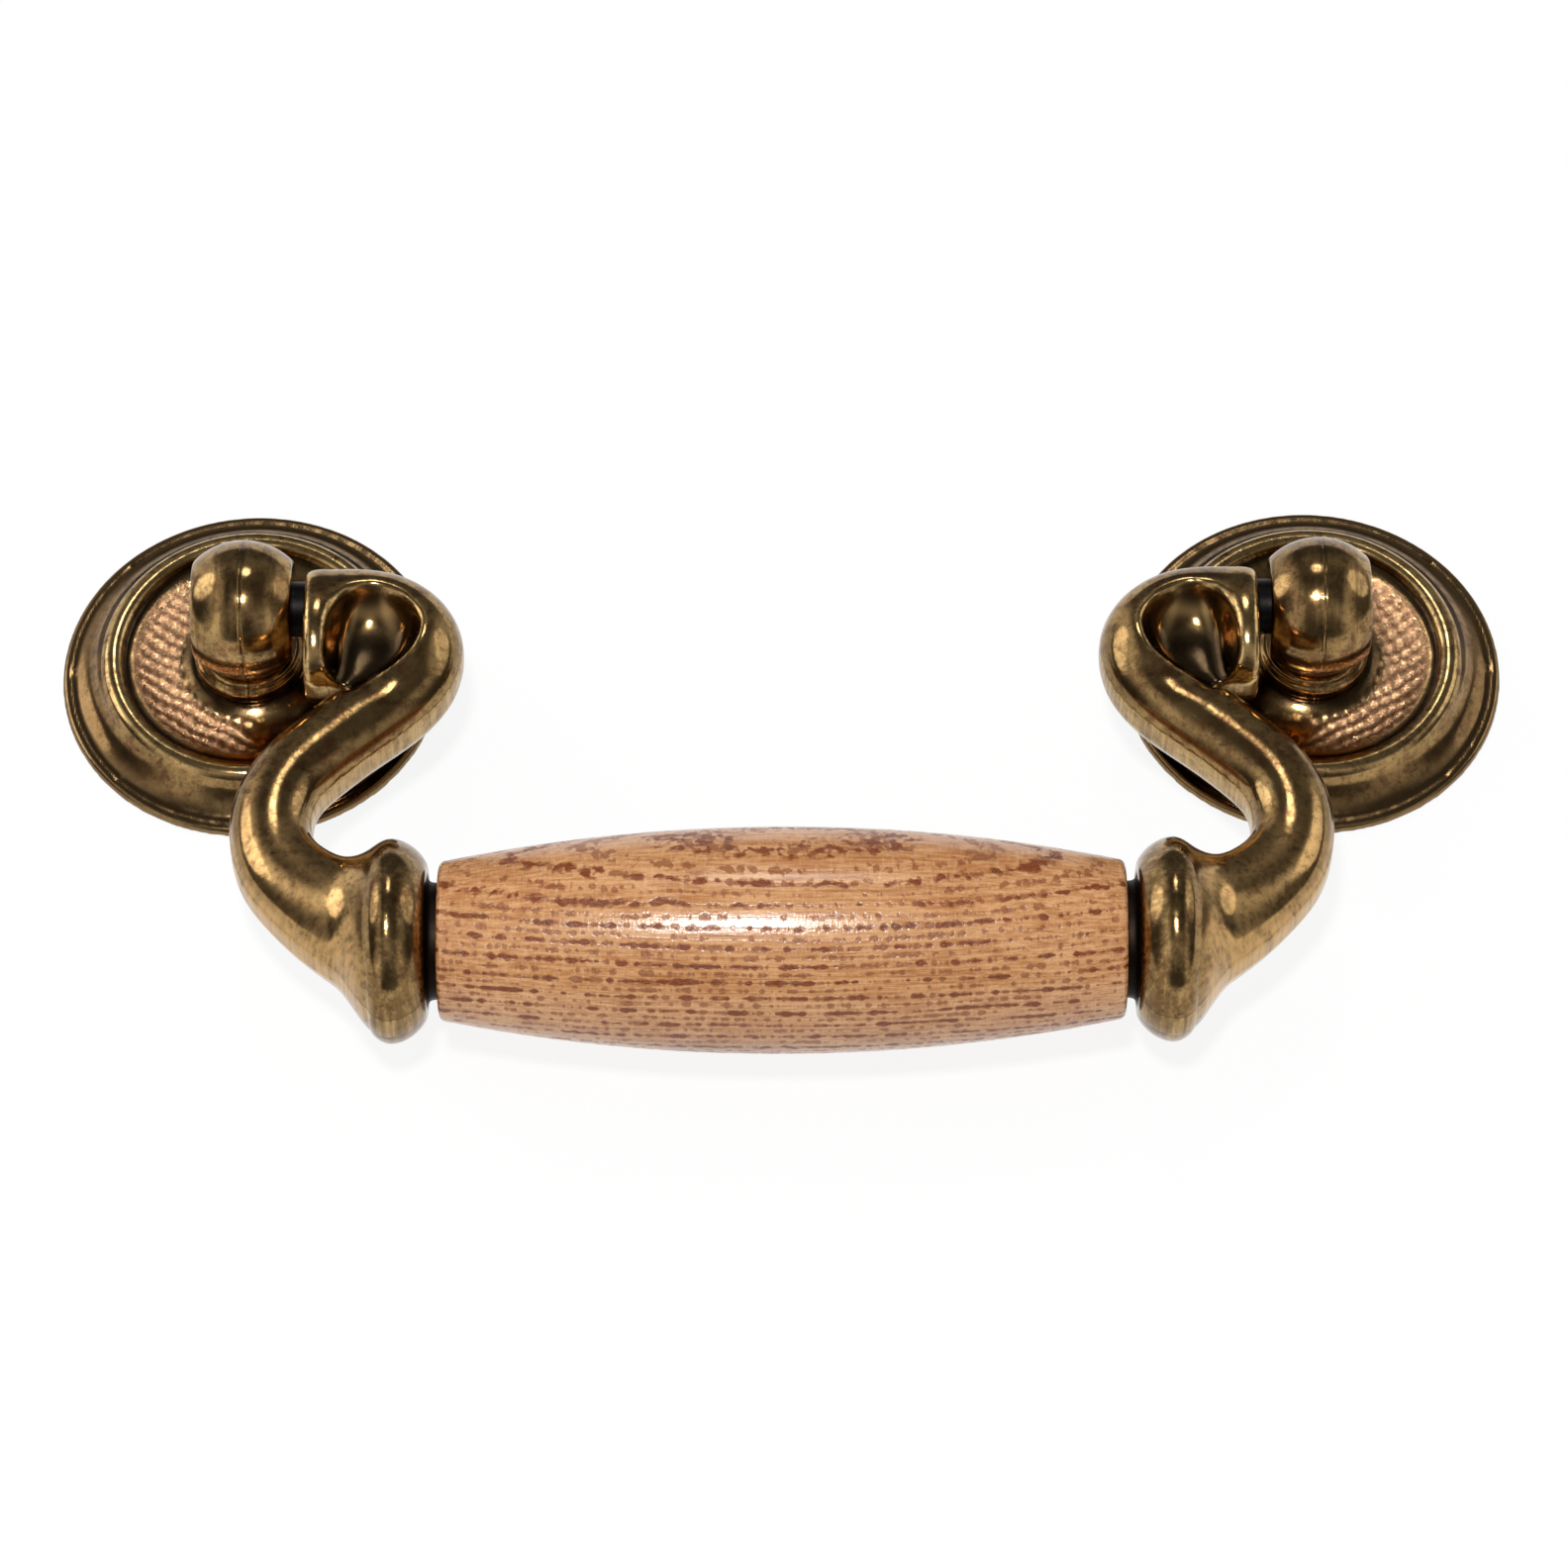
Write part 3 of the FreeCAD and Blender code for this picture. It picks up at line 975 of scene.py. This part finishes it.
@dataclass
class Studio:
    """The white table that the pull lies on, the tent and lamps over it and the camera."""

    eye: Place = (0.19, -452.8, -296.2)
    target: Place = (0.19, 0, -10.76)
    roll: float = -0.174
    lens: float = 147.727
    sensor: float = 36.0
    clip: Range = (10.0, 10000.0)
    table_half: float = 700.0
    table_gap: float = 0.05
    table_glow: float = 0.88
    paper: Colour = (0.92, 0.92, 0.92, 1)
    tent_level: float = 0.11
    table_level: float = 0.95
    table_edge: Range = (-0.04, 0.06)
    bands: tuple[Band, ...] = (
        Band(Axis.X, -0.66, 0.28, 0.75),
        Band(Axis.X, 0.74, 0.22, 0.40),
        Band(Axis.Z, 0.72, 0.25, 0.12),
        Band(Axis.Z, -0.62, 0.36, 0.36),
    )
    lamps: tuple[Lamp, ...] = (
        Lamp("key", (-45, -640, -190), 75, 3.0),
        Lamp("top", (0, -550, 345), 150, 0.36),
        Lamp("fill_left", (-700, -350, 250), 500, 1.3),
        Lamp("fill_right", (700, -350, 250), 500, 0.6),
    )

    def build(self) -> None:
        """Makes the table, the light and the camera."""
        self.table()
        self.tent()
        for lamp in self.lamps:
            self.light(lamp)
        self.camera()

    def table(self) -> None:
        """A pale sheet at the mounting plane, seen only from the front, which takes the pull's shadow."""
        mesh = bpy.data.meshes.new("table")
        shape = bmesh.new()
        bmesh.ops.create_grid(shape, x_segments=1, y_segments=1, size=self.table_half * MM)
        bmesh.ops.rotate(shape, verts=shape.verts, matrix=Matrix.Rotation(math.radians(90), 3, "X"))
        bmesh.ops.translate(shape, verts=shape.verts, vec=(0, self.table_gap * MM, 0))
        shape.to_mesh(mesh)
        shape.free()
        sheet = bpy.data.objects.new("table", mesh)
        bpy.context.scene.collection.objects.link(sheet)
        mesh.materials.append(self.table_finish())
        for flag in ("visible_diffuse", "visible_glossy", "visible_transmission", "visible_shadow"):
            setattr(sheet, flag, False)

    def table_finish(self) -> bpy.types.Material:
        """White paper that glows, and is clear from behind.

        Returns:
            The material.
        """
        made, graph = new_material("white_table")
        back = graph.node("ShaderNodeNewGeometry", output="Backfacing")
        paper = graph.node("ShaderNodeBsdfDiffuse", inputs={"Color": self.paper})
        glow = graph.node("ShaderNodeEmission", inputs={"Color": WHITE, "Strength": 1.0})
        front = graph.node("ShaderNodeMixShader", inputs={0: self.table_glow, 1: paper, 2: glow})
        clear = graph.node("ShaderNodeBsdfTransparent")
        both = graph.node("ShaderNodeMixShader", inputs={0: back, 1: front, 2: clear})
        graph.node("ShaderNodeOutputMaterial", inputs={"Surface": both})
        return made

    def tent(self) -> None:
        """White to the camera and where the table is mirrored; elsewhere dark, with bright bands."""
        scene = bpy.context.scene
        scene.world = bpy.data.worlds.new("tent")
        scene.world.use_nodes = True
        graph = Graph(scene.world.node_tree)
        ways = graph.split(graph.node("ShaderNodeTexCoord", output="Generated"))
        tent = self.tent_level
        for band in self.bands:
            tent = tent + ways[band.axis.value].near(band.centre, band.reach) * band.level
        table = ways[Axis.Y.value].step(*self.table_edge)
        level = tent + (self.table_level - tent) * table
        seen = graph.node("ShaderNodeLightPath", output="Is Camera Ray")
        strength = seen + (1 - seen) * level
        shader = graph.node("ShaderNodeBackground", inputs={"Color": WHITE, "Strength": strength})
        graph.node("ShaderNodeOutputWorld", inputs={"Surface": shader})

    def light(self, lamp: Lamp) -> None:
        """Hangs a lamp.

        Args:
            lamp: The lamp.
        """
        data = bpy.data.lights.new(lamp.name, "AREA")
        data.shape = "DISK"
        data.size = lamp.width * MM
        data.energy = lamp.power
        made = bpy.data.objects.new(lamp.name, data)
        made.location = Vector(lamp.place) * MM
        aim = Vector(self.target) - Vector(lamp.place)
        made.rotation_euler = aim.to_track_quat("-Z", "Y").to_euler()
        bpy.context.scene.collection.objects.link(made)

    def camera(self) -> None:
        """The camera at the photograph's place."""
        data = bpy.data.cameras.new("camera")
        data.sensor_width = self.sensor
        data.lens = self.lens
        data.clip_start, data.clip_end = (end * MM for end in self.clip)
        camera = bpy.data.objects.new("camera", data)
        camera.location = Vector(self.eye) * MM
        aim = (Vector(self.target) - Vector(self.eye)).to_track_quat("-Z", "Y")
        camera.rotation_mode = "QUATERNION"
        camera.rotation_quaternion = aim @ Quaternion((0, 0, 1), math.radians(self.roll))
        bpy.context.scene.collection.objects.link(camera)
        bpy.context.scene.camera = camera


def main() -> None:
    """Builds the pull's looks and the studio."""
    logging.basicConfig(level=logging.INFO, format="%(name)s: %(message)s")
    bpy.context.scene.view_settings.view_transform = "Standard"
    for side in Side:
        Mount(side).build()
    Bail().build()
    Grip().build()
    Studio().build()


if __name__ == "__main__":
    main()
